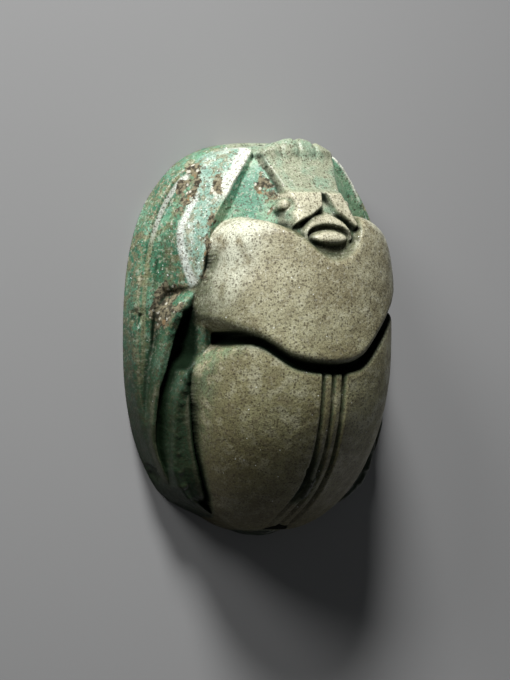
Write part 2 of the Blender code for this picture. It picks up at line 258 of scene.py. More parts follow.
def bar(x, y, z, crest, outer, inner):
    """A leg: a wall with a narrow rounded top, leaning out by the two slopes."""
    best = np.full(x.shape, 9.0)
    for (x0, y0, z0, w0), (x1, y1, z1, w1) in zip(crest[:-1], crest[1:]):
        dx, dy = x1 - x0, y1 - y0
        t = np.clip(((x - x0) * dx + (y - y0) * dy) / (dx * dx + dy * dy), 0.0, 1.0)
        r = np.hypot(x - x0 - t * dx, y - y0 - t * dy)
        outside = (x - x0) * dy - (y - y0) * dx > 0
        top = z0 + t * (z1 - z0)
        width = w0 + t * (w1 - w0)
        below = np.maximum(top - z, 0.0)
        side = (r - width - below * np.where(outside, outer, inner)) * 0.94
        a = side + LEG_ROUNDING
        b = z - top + LEG_ROUNDING
        d = np.hypot(np.maximum(a, 0.0), np.maximum(b, 0.0)) + np.minimum(np.maximum(a, b), 0.0)
        best = np.minimum(best, d - LEG_ROUNDING)
    return best


def convex(x, y, outline):
    """Distance outside a polygon with its corners in order round it."""
    best = np.full(x.shape, -9.0)
    for (x0, y0), (x1, y1) in zip(outline, outline[1:] + outline[:1]):
        n = np.hypot(x1 - x0, y1 - y0)
        best = np.maximum(best, ((y1 - y0) * (x - x0) - (x1 - x0) * (y - y0)) / n)
    return best


def bowed(x, z, half_width, shoulder, top):
    """A rounded back: nearly upright below its shoulder, arched above it."""
    rise = np.maximum(top - shoulder, 0.2)
    up = np.maximum(z - shoulder, 0.0) / rise
    tucked = half_width + 0.07 * np.clip(shoulder - z, 0.0, 2.5) - 0.10 * step(0.0, 0.5, shoulder - z)
    return (np.sqrt((x / tucked) ** 2 + up ** 2) - 1.0) * np.minimum(half_width, rise)


def wing_cases(x, y, z, across):
    """The wing cases, and the same shell before its front edge is cut."""
    v = np.clip(y / CASE_REACH, 0.0, 0.9999)
    half_width = np.maximum(CASE_HALF_WIDTH * (1.0 - v ** CASE_POWER) ** (1 / CASE_POWER), 0.02)
    shoulder = 1.20 + 2.3 * (1.0 - (np.clip(y + 1.0, 0.0, 10.0) / 10.0) ** 2)
    top = CASE_TOP * np.sqrt(np.maximum(1.0 - (y / CASE_TOP_REACH) ** 2, 0.004))
    d = bowed(x, z, half_width, shoulder, top)
    side = np.abs(across - along(y, *SEAM_PATH))
    band = 1.0 - step(SEAM_SPACING, SEAM_SPACING + 0.2, side)
    line = np.abs((side + SEAM_SPACING * 0.5) % SEAM_SPACING - SEAM_SPACING * 0.5)
    cut = np.maximum(1.0 - line / SEAM_HALF_WIDTH, 0.0)
    cut = np.where(side < SEAM_SPACING * 1.4, cut, 0.0)
    above = step(2.0, 3.0, z)
    d = d + above * (0.07 * band + SEAM_DEPTH * cut)
    d = smooth_max(d, y - CASE_END, 0.15)
    return smooth_max(d, (along(across, *CASE_FRONT) - y) * 0.85, 0.28), d


def pronotum(x, y, z, across):
    """The shield between the head and the wing cases."""
    v = np.clip(-y / COLLAR_REACH, 0.0, 0.9999)
    half_width = np.maximum(COLLAR_HALF_WIDTH * (1.0 - v ** COLLAR_POWER) ** (1 / COLLAR_POWER), 0.02)
    waist = WAIST_DEPTH * np.exp(-((y - WAIST_Y) / WAIST_LENGTH) ** 2)
    half_width = half_width - np.where(across > 0, waist, 0.0)
    top = COLLAR_TOP * np.sqrt(np.maximum(1.0 - (np.abs(y) / COLLAR_TOP_REACH) ** 2.4, 0.1))
    d = bowed(x, z, half_width, COLLAR_SHOULDER, top)
    d = smooth_max(d, (y - along(across, *COLLAR_REAR)) * 0.85, 0.40)
    d = smooth_max(d, (along(across, *COLLAR_FRONT) - y) * 0.8, 0.50)
    return smooth_max(d, COLLAR_UNDERSIDE - z, 0.2)


def frons(y, across):
    """Distance outside the two facets, with the eye's place left free."""
    facet = np.minimum(convex(across, y, FRONS_LEFT), convex(across, y, FRONS_RIGHT))
    return np.maximum(facet, 0.25 - np.hypot(across - EYE[0], (y - EYE[1]) * 0.8))


def crescent_reach(x, y):
    """One on the crescent's outer edge, less inside it."""
    return np.hypot(x / 1.25, (y - CRESCENT_Y) / 1.03)


def head(x, y, z, across):
    """The head: fluted plate, two facets, crescent, boss and eyes."""
    plate = along(y, *HEAD_PROFILE) - 0.22 * (x / 1.7) ** 2
    front_part = step(-8.2, -8.8, y)
    flute = np.exp(-(x / FLUTE_WIDTH) ** 2) + np.exp(-((x - FLUTE_X) / FLUTE_WIDTH) ** 2)
    plate = plate + 0.12 * step(-8.3, -8.8, y) - FLUTE_DEPTH * flute * front_part
    plate = plate + FACET_RISE * step(0.17, -0.14, frons(y, across))
    outer = crescent_reach(x, y)
    inner = np.hypot(x / 1.08, (y - CRESCENT_Y) / 0.50)
    crescent = step(1.06, 0.92, outer) * step(0.94, 1.16, inner) * step(-4.45, -4.75, y)
    plate = plate + CRESCENT_RISE * crescent
    boss = np.hypot(x, (y - BOSS_Y) / 0.34)
    plate = plate + BOSS_RISE * np.sqrt(np.maximum(1.0 - boss ** 2, 0.0))
    front = LAYOUT_FRONT - 0.036 + 0.17 * x ** 2 + FLUTE_DEPTH * flute
    front = front + 0.25 * step(4.0, 3.1, z)
    d = smooth_max((z - plate) * 0.72, (front - y) * 0.95, 0.25)
    d = smooth_max(d, (x - along(y, *HEAD_SIDE)) * 0.95, 0.14)
    d = np.maximum(d, y - HEAD_END)
    up = z - EYE[2] + FAR_EYE_DROP * (across < 0)
    eye = np.sqrt((x - EYE[0]) ** 2 + ((y - EYE[1]) * 0.85) ** 2 + up ** 2) - EYE_RADIUS
    return smooth_min(d, eye, 0.05)


def front_leg(x, y, z):
    """The front leg: its outer wall, the four faces inside it and the level top within."""
    edges = [np.interp(y, LEG_Y, xs) for xs, zs in LEG_FACE]
    rises = [np.interp(y, LEG_Y, zs) for xs, zs in LEG_FACE]
    d = (z - rises[0] - LEG_OUTER_SLOPE * (edges[0] - x)) * LEG_OUTER_SCALE
    for i in range(4):
        slope = (rises[i + 1] - rises[i]) / (edges[i] - edges[i + 1])
        face = (z - rises[i] - slope * (edges[i] - x)) / np.sqrt(1.0 + slope ** 2)
        d = np.where(x < edges[i], face, d)
    d = np.where(x < edges[4], (z - rises[4]) * 0.8, d)
    d = smooth_max(d, (LEG_FRONT_Y - y) * 0.9, 0.25)
    d = smooth_max(d, (y + 2.30 + 0.7 * (x - 4.7) + 0.3 * (z - 2.6)) * 0.75, 0.15)
    return np.maximum(d, oval(x, y) + 0.16)


def flank(x, y, z):
    """What stands on the plinth beside the body: the flank itself and the legs carved from it."""
    inside = -oval(x, y)
    ahead = step(-1.2, -3.0, y)
    rise = 0.22 + 0.08 * ahead
    top = LAYOUT_PLINTH - 0.04 + rise * step(0.4, 1.5, inside)
    top = top - TROUGH_DEPTH * step(0.75, 1.05, inside) * step(2.0, 1.5, inside) * step(2.5, -0.5, y)
    core = np.maximum((z - top) * 0.9, 0.12 - inside)
    walls = [
        np.maximum(bowed(x, z, half_width, WALL_SHOULDER, WALL_TOP), np.abs(y - middle) - half_length)
        for half_width, middle, half_length in INNER_WALLS]
    d = smooth_min(core, np.minimum(*walls), 0.20)
    d = smooth_min(d, front_leg(x, y, z), 0.10)
    legs = np.minimum(bar(x, y, z, MIDDLE_LEG, 0.08, 0.28), bar(x, y, z, HIND_LEG, 0.10, 0.20))
    d = smooth_min(d, smooth_max(legs, 0.02 - inside, 0.08), 0.12)
    lump = np.sqrt((x - LUMP[0]) ** 2 + (y - LUMP[1]) ** 2 + (z - LUMP[2]) ** 2) - LUMP_RADIUS
    d = smooth_min(d, lump, 0.15)
    return smooth_min(d, bar(x, y, z, SIDE_POST, 0.10, 0.10), 0.10)


def thigh(x, y, z, shell):
    """The hind leg's upper face, rising to the wing case."""
    stations = np.array(HIND_LEG)
    crest = np.interp(y, stations[:, 1], stations[:, 0])
    rise = np.interp(y, stations[:, 1], stations[:, 2])
    d = (z - rise - THIGH_SLOPE * (crest - x) + 0.10) * 0.8
    d = smooth_max(d, x - crest - 0.1, 0.1)
    d = smooth_max(d, np.abs(y - THIGH_MIDDLE) - THIGH_HALF_LENGTH, 0.4)
    return smooth_max(d, 0.06 - shell, 0.08)


def plinth(x, y, z):
    return smooth_max(oval(x, y), z - LAYOUT_PLINTH, PLINTH_EDGE * 2.0)


def scarab(x, y, z):
    """The whole form: less than zero inside the stone, roughly a distance outside it."""
    across = x
    x = np.abs(x)
    cases, shell = wing_cases(x, y, z, across)
    floor = np.maximum(shell + 0.50 + 0.75 * step(2.8, 4.1, x), -2.7 - y)
    back = np.minimum(cases, pronotum(x, y, z, across))
    back = smooth_min(back, floor, 0.10)
    d = smooth_min(back, head(x, y, z, across), 0.07)
    d = smooth_min(d, flank(x, y, z), 0.07)
    d = smooth_min(d, thigh(x, y, z, shell), 0.07)
    return smooth_min(d, plinth(x, y, z), 0.12)


def surface(points):
    """Where the ray of each direction leaves the form for the last time."""
    start = points * RAY_START
    start[:, 2] = RAY_START_Z
    target = points * RAY_TARGET
    target[:, 2] -= RAY_TARGET_DROP
    ray = target - start
    last = np.full(len(points), RAY_FAR)
    hit = np.full(len(points), RAY_NEAR)
    left = np.arange(len(points))
    t = RAY_FAR
    while t > RAY_STRIDE and len(left):
        t -= RAY_STRIDE
        p = start[left] + ray[left] * t
        now = scarab(p[:, 0], p[:, 1], p[:, 2]) < 0
        hit[left[now]] = t
        last[left[now]] = t + RAY_STRIDE
        left = left[~now]
    for _ in range(RAY_HALVINGS):
        mid = (hit + last) * 0.5
        p = start + ray * mid[:, None]
        deep = scarab(p[:, 0], p[:, 1], p[:, 2]) < 0
        hit = np.where(deep, mid, hit)
        last = np.where(deep, last, mid)
    return start + ray * hit[:, None]


# Reach of each look for nearby walls, and how much it counts
HOLLOW_LOOKS = [(0.16, 0.35), (0.45, 0.35), (1.0, 0.30)]
EDGE_REACH = 0.20
HEIGHT_COUNTS = 0.35
FAR_SIDE_FADE = 0.6
HOLLOW_SMOOTHING = 2
SPHERE_SUBDIVISIONS = 8
SPHERE_CUT = -0.12
LEAN_TO_HEAD = -0.18


def noise_at(p, scale, octaves=1, seed=0.0):
    """Smooth noise from -1 to 1, one value a point; scale is in waves per millimetre."""
    shift = Vector((seed * 7.3 + 0.37, seed * 3.1 + 0.71, seed * 5.7 + 0.13))
    out = np.zeros(len(p))
    gain = 1.0
    total = 0.0
    for i in range(octaves):
        s = scale * 2.0 ** i
        out += gain * np.array([noise.noise(Vector(q) * s + shift) for q in p.tolist()])
        total += gain
        gain *= 0.5
    return out / total


def openness(p, n, reach):
    """One where nothing stands within reach above the surface, less in hollows."""
    q = p + n * reach
    return np.clip(scarab(q[:, 0], q[:, 1], q[:, 2]) / reach, -1.0, 1.2)


def near_line(p, line):
    """Strength of the nearest stretch of a line; a point's height counts for a third."""
    best = np.zeros(len(p))
    weight = np.array([1.0, 1.0, HEIGHT_COUNTS])
    for first, last in zip(line[:-1], line[1:]):
        a = np.array(first)
        d = np.array(last) - a
        w = weight * weight
        t = np.clip(((p - a[:3]) * d[:3] * w).sum(axis=1) / (d[:3] * d[:3] * w).sum(), 0.0, 1.0)
        r = np.sqrt((((p - a[:3] - t[:, None] * d[:3]) * weight) ** 2).sum(axis=1))
        width = a[3] + t * d[3]
        best = np.maximum(best, (a[4] + t * d[4]) * step(1.35, 0.45, r / width))
    return best


# Lines on the surface: x, y, z, half width, strength
DIRT_LINE = [
    (3.95, -8.05, 1.60, 0.22, 0.55), (4.28, -7.40, 1.60, 0.40, 0.90), (4.52, -6.60, 1.60, 0.34, 0.80),
    (4.92, -5.85, 1.50, 0.16, 0.45), (5.25, -4.90, 1.50, 0.14, 0.40), (5.30, -4.00, 1.50, 0.14, 0.40),
    (5.24, -3.10, 1.60, 0.22, 0.60), (5.25, -2.40, 1.70, 0.40, 1.00), (5.46, -1.90, 1.60, 0.55, 1.10),
    (5.72, -1.25, 1.40, 0.50, 1.10), (5.95, -0.70, 1.30, 0.36, 0.90), (6.05, -0.10, 1.20, 0.16, 0.60),
]
CRUST_LINE = [
    (3.35, -7.90, 3.00, 0.10, 0.45), (3.70, -6.95, 3.10, 0.26, 0.60), (3.85, -6.10, 3.20, 0.30, 0.70),
    (4.15, -5.20, 3.20, 0.26, 0.70), (4.45, -4.00, 3.30, 0.16, 0.60), (4.60, -2.90, 3.20, 0.14, 0.60),
]
EYE_DIRT = [
    (1.95, -7.60, 4.30, 0.20, 0.60), (2.00, -7.00, 4.60, 0.42, 0.75), (1.95, -6.40, 5.10, 0.40, 0.80),
    (2.15, -5.90, 5.10, 0.20, 0.50),
]
# Lines along which painted shade darkens the head's cuts and the pronotum's edge
HEAD_CUTS = [
    [(2.00, -8.75, 3.9, 0.12, 0.8), (1.84, -8.00, 4.4, 0.15, 0.9), (1.62, -7.20, 4.9, 0.16, 0.9),
     (1.56, -6.80, 5.2, 0.16, 0.9)],
    [(1.95, -6.30, 5.3, 0.16, 0.6), (1.90, -5.85, 5.5, 0.22, 0.9), (1.62, -5.50, 5.8, 0.18, 0.9)],
]
COLLAR_CUT = [
    (4.40, -5.0, 3.5, 0.10, 0.0), (4.50, -4.0, 3.5, 0.12, 0.2), (4.60, -3.0, 3.4, 0.14, 0.6),
    (4.72, -2.2, 3.2, 0.16, 0.8),
]
GREEN_LINE = [
    (3.30, 0.30, 5.4, 0.30, 0.5), (4.10, 0.35, 4.7, 0.45, 0.8), (4.75, 0.70, 3.6, 0.50, 0.9),
    (4.90, 1.80, 3.2, 0.60, 0.8), (4.85, 3.20, 2.9, 0.50, 0.6), (4.60, 5.00, 2.6, 0.40, 0.5),
]
# Painted highlight where the light falls on the pronotum's near shoulder
SHOULDER_LINE = [
    (2.90, -5.50, 5.7, 0.60, 0.5), (3.75, -5.20, 5.2, 0.85, 0.75), (4.20, -4.60, 4.8, 1.10, 0.8),
    (4.42, -3.80, 4.5, 1.15, 0.8), (4.55, -2.90, 4.4, 0.95, 0.7), (4.75, -1.90, 4.3, 0.70, 0.55),
]
POST_LINE = [(x, y, z + radius, 1.5 * radius, 1.0) for x, y, z, radius in SIDE_POST]
# Small losses: centre x, y, z, radius, depth of the bite
CHIPS = [
    (6.86, -1.00, 1.10, 0.50, 0.11),
    (5.62, 6.10, 0.50, 0.55, 0.12),
    (0.27, 6.74, 5.05, 0.16, 0.06),
    (0.36, 5.92, 5.70, 0.16, 0.06),
    (-5.90, 4.90, 1.05, 0.45, 0.10),
    (-3.20, -8.55, 1.10, 0.50, 0.10),
]


def cast(bm):
    """Places an icosphere's vertices on the carved form; they lie closer at the head."""
    bmesh.ops.create_icosphere(bm, subdivisions=SPHERE_SUBDIVISIONS, radius=1.0)
    bmesh.ops.delete(bm, geom=[v for v in bm.verts if v.co.z < SPHERE_CUT], context="VERTS")
    bm.verts.ensure_lookup_table()
    points = np.array([v.co[:] for v in bm.verts]) + np.array([0.0, LEAN_TO_HEAD, 0.0])
    points /= np.linalg.norm(points, axis=1)[:, None]
    p = surface(points)
    for vert, co in zip(bm.verts, p):
        vert.co = co
    bm.normal_update()
    return p, np.array([v.normal[:] for v in bm.verts])


def depth_masks(p, n):
    """How deep in a hollow and how near a sharp edge each point lies."""
    hollow = np.ones(len(p))
    for reach, share in HOLLOW_LOOKS:
        hollow = hollow - share * openness(p, n, reach)
    inside = p - n * EDGE_REACH
    edge = 1.0 + scarab(inside[:, 0], inside[:, 1], inside[:, 2]) / EDGE_REACH
    return np.clip(hollow, 0.0, 1.0), np.clip(edge, 0.0, 1.0)


def body_masks(x, y, z, across):
    """The back, the head's plate, and the parts of the head that are bare stone."""
    cases = wing_cases(x, y, z, across)[0]
    back = step(0.12, 0.02, np.minimum(cases, pronotum(x, y, z, across)))
    facet = step(0.10, -0.10, frons(y, across))
    brow = step(1.25, 1.0, crescent_reach(x, y))
    stony = np.maximum(facet, brow) * step(-7.0, -6.7, y) * (1.0 - back)
    plate = step(0.10, 0.0, x - along(y, *HEAD_SIDE)) * step(-5.0, -5.4, y)
    plate = plate * (1.0 - stony) * (1.0 - back)
    from_eye = np.sqrt((x - EYE[0]) ** 2 + (y - EYE[1]) ** 2 + (z - EYE[2]) ** 2)
    return back, plate, np.maximum(stony, step(EYE_RADIUS + 0.10, EYE_RADIUS + 0.01, from_eye))


def leg_masks(x, y, z, back, plate):
    """Zones of the front leg and the flank outside it."""
    leg_x = np.interp(y, LEG_Y, LEG_FACE[0][0])
    arm_x = np.interp(y, LEG_Y, LEG_FACE[2][0])
    on_leg = step(0.10, 0.02, np.abs(front_leg(x, y, z))) * (1.0 - back) * (1.0 - plate)
    face = on_leg * step(0.12, -0.05, x - leg_x) * step(-0.02, 0.10, x - arm_x)
    cheek = on_leg * step(0.02, -0.10, x - arm_x) * step(-4.9, -5.3, y)
    arm = on_leg * step(0.22, 0.10, np.abs(x - arm_x - 0.04)) * step(-6.2, -6.9, y)
    crest = on_leg * step(0.12, 0.05, np.abs(x - leg_x + 0.03)) * step(-7.2, -6.6, y) * step(-2.3, -2.6, y)
    outer = step(0.02, 0.10, x - leg_x) * step(1.30, 1.55, z) * step(-8.0, -7.0, y) * step(-2.2, -2.5, y)
    outer = np.maximum(outer * (1.0 - crest), step(0.30, 0.16, -oval(x, y)))
    return {"face": face, "cheek": cheek, "arm": arm, "crest": crest, "outer": outer}


def plinth_masks(x, y, z):
    """The plinth's worn rim and the trough inside it."""
    inside = -oval(x, y)
    rim = step(0.16, 0.07, np.abs(inside - 0.40)) * step(0.6, 0.8, z) * step(1.7, 1.5, z)
    trough = step(0.75, 1.0, inside) * step(2.2, 1.7, inside) * step(2.2, 1.6, z) * step(3.5, -1.0, y)
    return rim, trough


def dirt_mask(p, sides, fade):
    """Clumps of dirt along their lines."""
    dirt = near_line(sides, DIRT_LINE)
    dirt = np.maximum(dirt, near_line(sides, CRUST_LINE))
    dirt = np.maximum(dirt, near_line(sides, EYE_DIRT)) * fade
    clump = noise_at(p, 1.3, 2, 4.0)
    return np.clip(dirt * step(-0.45, 0.25, clump) * 1.15, 0.0, 1.0)


def shaded_hollows(hollow, sides, across, fade):
    """The hollows, for painted shade: lighter at the open corner and the side post, darker in cuts,
    creases and under the knee.
    """
    x, y, z = sides.T
    open_corner = step(0.9, 0.5, np.hypot(x - 4.0, (y + 5.5) * 0.75)) * step(2.6, 3.0, z)
    open_side = step(-3.6, -4.6, y) * step(3.8, 4.1, x)
    hollow = hollow * (1.0 - 0.75 * np.maximum(open_corner, open_side))
    shell = wing_cases(x, y, z, across)[1]
    beside = np.abs(thigh(x, y, z, shell))
    crease = step(0.30, 0.05, np.abs(shell - 0.05)) * step(0.30, 0.05, beside) * step(0.8, 1.4, y)
    hollow = np.maximum(hollow, 0.45 * crease * fade)
    cut = near_line(sides, COLLAR_CUT) * step(3.9, 3.6, z)
    for line in HEAD_CUTS:
        cut = np.maximum(cut, near_line(sides, line))
    knee = step(3.15, 2.80, z) * step(-1.75, -1.35, y) * step(1.6, 1.1, y)
    knee = knee * step(4.10, 4.30, x) * step(5.45, 5.10, x)
    hollow = np.maximum(hollow, np.maximum(knee * 0.75, cut * 0.60) * fade)
    return hollow * (1.0 - 0.8 * near_line(sides, POST_LINE))


def green_mask(hollow, sides, across, fade):
    """Green washed over the stone: beside the legs, and in the seam between the wing cases."""
    y = sides[:, 1]
    seam = step(0.95, 0.75, np.abs(across - along(y, *SEAM_PATH))) * step(1.3, 1.5, y)
    return np.maximum(near_line(sides, GREEN_LINE) * fade, seam * step(0.25, 0.45, hollow) * 1.2)


def relief(p, back, face, dirt):
    """Hand-cut unevenness, stone grain, crust, dirt and chips, in millimetres outwards."""
    rough = 0.030 * noise_at(p, 0.42, 2, 1.0) * (0.4 + 0.6 * back)
    rough = rough + 0.012 * noise_at(p, 1.6, 2, 2.0)
    rough = rough + (0.012 * (1.0 - back) + 0.030 * face) * noise_at(p, 3.6, 2, 5.0)
    grains = noise_at(p, 5.5, 1, 3.0)
    rough = rough + dirt * (0.025 + 0.060 * np.abs(grains))
    for *centre, radius, depth in CHIPS:
        away = np.linalg.norm(p - np.array(centre), axis=1) / radius
        rough = rough - depth * step(1.0, 0.55, away + 0.35 * grains)
    return rough * step(0.0, 0.20, p[:, 2])


def smoothed(bm, values):
    """Each vertex's value averaged with its neighbours'."""
    pairs = np.array([(e.verts[0].index, e.verts[1].index) for e in bm.edges])
    count = np.bincount(pairs.ravel(), minlength=len(values)) + 1.0
    for _ in range(HOLLOW_SMOOTHING):
        total = values.copy()
        np.add.at(total, pairs[:, 0], values[pairs[:, 1]])
        np.add.at(total, pairs[:, 1], values[pairs[:, 0]])
        values = total / count
    return values


def store(bm, masks):
    """Keeps each mask on the vertices, where the material reads it by name."""
    for key, values in masks.items():
        layer = bm.verts.layers.float.new(key)
        for vert, value in zip(bm.verts, values.tolist()):
            vert[layer] = value


def close_underside(bm):
    """Cuts the form flat at the base plane and closes it."""
    everything = bm.verts[:] + bm.edges[:] + bm.faces[:]
    bmesh.ops.bisect_plane(
        bm, geom=everything, dist=1e-9,
        plane_co=Vector((0, 0, 0)), plane_no=Vector((0, 0, -1)), clear_outer=True)
    rim = [e for e in bm.edges if e.is_boundary]
    bmesh.ops.holes_fill(bm, edges=rim, sides=0)
    bmesh.ops.triangulate(bm, faces=[f for f in bm.faces if len(f.verts) > 3])
    bmesh.ops.recalc_face_normals(bm, faces=bm.faces[:])


def linked_object(name, bm):
    mesh = bpy.data.meshes.new(name)
    bm.to_mesh(mesh)
    bm.free()
    obj = bpy.data.objects.new(name, mesh)
    bpy.context.scene.collection.objects.link(obj)
    return obj


def carve(name):
    """The whole piece without its bore, with masks for the material."""
    bm = bmesh.new()
    p, n = cast(bm)
    across = p[:, 0]
    x, y, z = np.abs(across), p[:, 1], p[:, 2]
    sides = np.stack([x, y, z], axis=1)
    fade = np.where(across > 0, 1.0, FAR_SIDE_FADE)

    hollow, edge = depth_masks(p, n)
    hollow = shaded_hollows(hollow, sides, across, fade)
    back, plate, stony = body_masks(x, y, z, across)
    rim, trough = plinth_masks(x, y, z)
    dirt = dirt_mask(p, sides, fade)
    masks = {
        "edge": edge, "back": back, "plate": plate, "brow": stony, "rim": rim, "trough": trough,
        "dirt": dirt, "shoulder": near_line(sides, SHOULDER_LINE) * back * fade,
        "green": green_mask(hollow, sides, across, fade),
    }
    masks.update(leg_masks(x, y, z, back, plate))
    hollow = smoothed(bm, hollow)
    masks["hollow"] = hollow
    # Crests that take a painted highlight: the front leg's outer crest and the plinth's rim at the front,
    # none in hollows
    masks["crest"] = np.maximum(masks["crest"], rim * step(-4.0, -5.5, y)) * (1.0 - hollow)

    p = p + n * relief(p, back, masks["face"], dirt)[:, None]
    for vert, co in zip(bm.verts, p):
        vert.co = Vector((co[0] * MM, (co[1] + SHIFT_Y) * MM, co[2] * MM))
    store(bm, masks)
    close_underside(bm)
    for face in bm.faces:
        face.smooth = True
    return linked_object(name, bm)


def drill(obj):
    """Cuts the lengthwise bore."""
    bm = bmesh.new()
    bmesh.ops.create_cone(
        bm, cap_ends=True, segments=BORE_SEGMENTS, depth=DRILL_LENGTH * MM,
        radius1=BORE_RADIUS * MM, radius2=BORE_RADIUS * MM)
    cutter = linked_object("drill", bm)
    cutter.location = (0.0, 0.0, BORE_AXIS * MM)
    cutter.rotation_euler = (math.pi / 2, 0.0, 0.0)
    cut = obj.modifiers.new("threading_hole", "BOOLEAN")
    cut.operation = "DIFFERENCE"
    cut.solver = "EXACT"
    cut.object = cutter
    bpy.context.view_layer.update()
    graph = bpy.context.evaluated_depsgraph_get()
    solid = bpy.data.meshes.new_from_object(obj.evaluated_get(graph), depsgraph=graph)
    obj.modifiers.clear()
    obj.data = solid
    bpy.data.objects.remove(cutter, do_unlink=True)


class Graph:
    """Short calls for making shader nodes."""

    def __init__(self, name):
        self.material = bpy.data.materials.new(name)
        self.material.use_nodes = True
        self.tree = self.material.node_tree
        self.shader = self.tree.nodes["Principled BSDF"]

    def link(self, value, socket):
        if isinstance(value, (int, float)):
            socket.default_value = value
        elif isinstance(value, tuple):
            socket.default_value = value if len(value) == 4 else value + (1.0,)
        else:
            self.tree.links.new(value, socket)

    def attribute(self, name):
        node = self.tree.nodes.new("ShaderNodeAttribute")
        node.attribute_name = name
        return node.outputs["Fac"]

    def position(self):
        return self.tree.nodes.new("ShaderNodeTexCoord").outputs["Object"]

    def place(self):
        """The position's three parts, as sockets named X, Y and Z."""
        parts = self.tree.nodes.new("ShaderNodeSeparateXYZ")
        self.link(self.position(), parts.inputs["Vector"])
        return parts.outputs

    def math(self, kind, a, b=0.0, clamp=False):
        node = self.tree.nodes.new("ShaderNodeMath")
        node.operation = kind
        node.use_clamp = clamp
        self.link(a, node.inputs[0])
        self.link(b, node.inputs[1])
        return node.outputs[0]

    def scaled(self, value, by):
        return self.math("MULTIPLY", value, by)

    def noise(self, scale, detail=2.0, rough=0.5):
        node = self.tree.nodes.new("ShaderNodeTexNoise")
        node.inputs["Scale"].default_value = scale
        node.inputs["Detail"].default_value = detail
        node.inputs["Roughness"].default_value = rough
        self.link(self.position(), node.inputs["Vector"])
        return node.outputs["Fac"]

    def ramp(self, value, lo, hi):
        node = self.tree.nodes.new("ShaderNodeMapRange")
        node.interpolation_type = "SMOOTHSTEP"
        self.link(value, node.inputs["Value"])
        node.inputs["From Min"].default_value = lo
        node.inputs["From Max"].default_value = hi
        return node.outputs["Result"]

    def in_bore(self):
        """One on the threading hole's wall, zero outside it."""
        place = self.place()
        z = self.math("SUBTRACT", place["Z"], BORE_AXIS * MM)
        square = self.math("ADD", self.math("POWER", place["X"], 2.0), self.math("POWER", z, 2.0))
        return self.ramp(self.math("SQRT", square), BORE_RADIUS * MM * 1.05, BORE_RADIUS * MM * 0.98)

    def grain(self, scale, rare, size):
        """Scattered round grains: one inside a grain, zero outside."""
        node = self.tree.nodes.new("ShaderNodeTexVoronoi")
        node.inputs["Scale"].default_value = scale
        self.link(self.position(), node.inputs["Vector"])
        part = self.tree.nodes.new("ShaderNodeSeparateColor")
        self.link(node.outputs["Color"], part.inputs["Color"])
        chosen = self.math("GREATER_THAN", part.outputs["Red"], rare)
        return self.math("MULTIPLY", chosen, self.ramp(node.outputs["Distance"], size * 1.4, size * 0.8))

    def mix_value(self, factor, a, b):
        node = self.tree.nodes.new("ShaderNodeMix")
        node.data_type = "FLOAT"
        self.link(factor, node.inputs[0])
        self.link(a, node.inputs[2])
        self.link(b, node.inputs[3])
        return node.outputs[0]

    def mix(self, factor, a, b):
        node = self.tree.nodes.new("ShaderNodeMix")
        node.data_type = "RGBA"
        self.link(factor, node.inputs["Factor"])
        self.link(a, node.inputs["A"])
        self.link(b, node.inputs["B"])
        return node.outputs["Result"]


# Colours of the bare stone
STONE_DARK = (0.270, 0.245, 0.150)
STONE_LIGHT = (0.390, 0.370, 0.245)
OLIVE_DARK = (0.200, 0.190, 0.075)
OLIVE_LIGHT = (0.300, 0.300, 0.140)
STONE_BROWN = (0.175, 0.150, 0.085)
STONE_PALE = (0.500, 0.490, 0.350)
BROW_PALE = (0.620, 0.600, 0.450)
# Painted highlight on the pronotum's near shoulder
SHOULDER_HIGHLIGHT = (0.660, 0.680, 0.540)
GREEN_WASH = (0.110, 0.200, 0.110)
# Painted shade: the stone's dark brown towards the rear
STONE_REAR_SHADE = (0.070, 0.055, 0.030)
STAIN = (0.080, 0.095, 0.045)
# Colours of the glaze
GLAZE_DEEP = (0.035, 0.150, 0.085)
GLAZE_LIGHT = (0.130, 0.290, 0.180)
GLAZE_BLOOM = (0.260, 0.470, 0.360)
GLAZE_RUBBED = (0.250, 0.225, 0.115)
GLAZE_TROUGH = (0.040, 0.135, 0.070)
# Painted shade: the glaze's dark forms at the tail and in the hollows
GLAZE_REAR_SHADE = (0.026, 0.042, 0.018)
GLAZE_HOLLOW_SHADE = (0.018, 0.055, 0.028)
FLANK_BROWN = (0.190, 0.165, 0.090)
FLANK_GREEN = (0.110, 0.150, 0.085)
RIM_BUFF = (0.380, 0.360, 0.200)
CHEEK_DEEP = (0.085, 0.235, 0.150)
CHEEK_LIGHT = (0.210, 0.350, 0.220)
PLATE_BUFF = (0.300, 0.325, 0.225)
PLATE_GREEN = (0.200, 0.330, 0.235)
CRUST_GREEN = (0.220, 0.370, 0.290)
CRUST_PALE = (0.480, 0.560, 0.470)
CRUST_BROWN = (0.240, 0.225, 0.140)
# Colours of worn edges, each with a darker form for the painted shade at the tail; the pale edge, arm and
# crest colours carry wear and painted highlight together
WORN = (0.330, 0.320, 0.190)
WORN_REAR_SHADE = (0.060, 0.062, 0.028)
EDGE_WEAR_HIGHLIGHT = (0.600, 0.600, 0.460)
EDGE_REAR_SHADE = (0.090, 0.086, 0.045)
ARM_WEAR_HIGHLIGHT = (0.680, 0.700, 0.600)
CREST_WEAR_HIGHLIGHT = (0.640, 0.680, 0.620)
# Colours of grains and soil, then of painted shade in the hollows, towards the rear and in the bore
GRAIN_FINE = (0.050, 0.042, 0.024)
GRAIN_COARSE = (0.065, 0.052, 0.030)
GRAIN_LIGHT = (0.620, 0.610, 0.480)
SPARK = (0.850, 0.880, 0.840)
SOIL_DARK = (0.038, 0.032, 0.020)
SOIL_LIGHT = (0.200, 0.175, 0.110)
SOIL_RUST = (0.290, 0.180, 0.085)
SOIL_PALE = (0.620, 0.600, 0.500)
SHADE = (0.002, 0.006, 0.003)
LOWER_REAR_SHADE = (0.006, 0.013, 0.005)
BORE_SHADE = (0.018, 0.016, 0.010)
FLOOR_GREY = (0.30, 0.30, 0.30)


